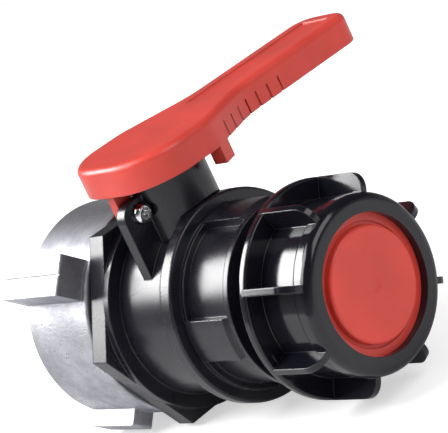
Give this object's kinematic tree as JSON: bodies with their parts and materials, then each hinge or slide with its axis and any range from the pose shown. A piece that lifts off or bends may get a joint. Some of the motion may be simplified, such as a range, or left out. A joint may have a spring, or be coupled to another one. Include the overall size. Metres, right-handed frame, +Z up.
{
  "type": "ibc tank valve",
  "caption": "Quarter-turn ball valve with a lugged union nut, hexagon plate, red lever with locking screw, and a finned nut holding a blanking disc.",
  "frame": {"origin": "centre of the union nut's mouth, where the tank's thread enters", "axes": "+X along the flow from the tank to the outlet, +Z up the stem, +Y along the lever when the valve is shut"},
  "size_m": [0.1755, 0.1809, 0.1303],
  "materials": {
    "cast_aluminium": "rough cast",
    "black_plastic": "satin moulded",
    "gloss_black_plastic": "glossy moulded",
    "red_plastic": "satin moulded",
    "chrome_steel": "polished",
    "white_ptfe": "waxy",
    "black_rubber": "smooth",
    "ball_plastic": "polished",
    "spring_steel": "bright"
  },
  "bodies": {
    "valve": {"valve_body": "black_plastic", "end_piece": "black_plastic", "inlet_seat": "white_ptfe", "outlet_seat": "white_ptfe", "end_piece_seal": "black_rubber", "tank_gasket": "black_rubber", "union_ring": "spring_steel", "thrust_washer": "white_ptfe", "stem_bush": "white_ptfe", "lock_screw": "chrome_steel"},
    "union": {"union_nut": "cast_aluminium"},
    "lever_and_ball": {"lever": "red_plastic", "stem": "black_plastic", "ball": "ball_plastic", "lever_clip": "spring_steel", "lower_stem_seal": "black_rubber", "upper_stem_seal": "black_rubber"},
    "disc": {"blanking_disc": "red_plastic", "disc_gasket": "black_rubber"},
    "cap_nut": {"outlet_nut": "gloss_black_plastic"}
  },
  "joints": [
    {"name": "lever_turn", "type": "hinge", "parent": "valve", "child": "lever_and_ball", "pos_m": [0.078, 0, 0.07], "axis": [0, 0, -1], "range_deg": [0, 90]},
    {"name": "union_turn", "type": "hinge", "parent": "valve", "child": "union", "pos_m": [0.02, 0, 0], "axis": [1, 0, 0], "continuous": true},
    {"name": "disc_travel", "type": "slide", "parent": "valve", "child": "disc", "axis": [1, 0, 0], "range_m": [0, 0.018]},
    {"name": "outlet_nut_turn", "type": "hinge", "parent": "disc", "child": "cap_nut", "pos_m": [0.1615, 0, 0], "axis": [1, 0, 0], "range_deg": [0, 1080]}
  ],
  "couplings": [
    {"joint": "disc_travel", "follows": "outlet_nut_turn", "m_per_rad": 0.00095493}
  ]
}
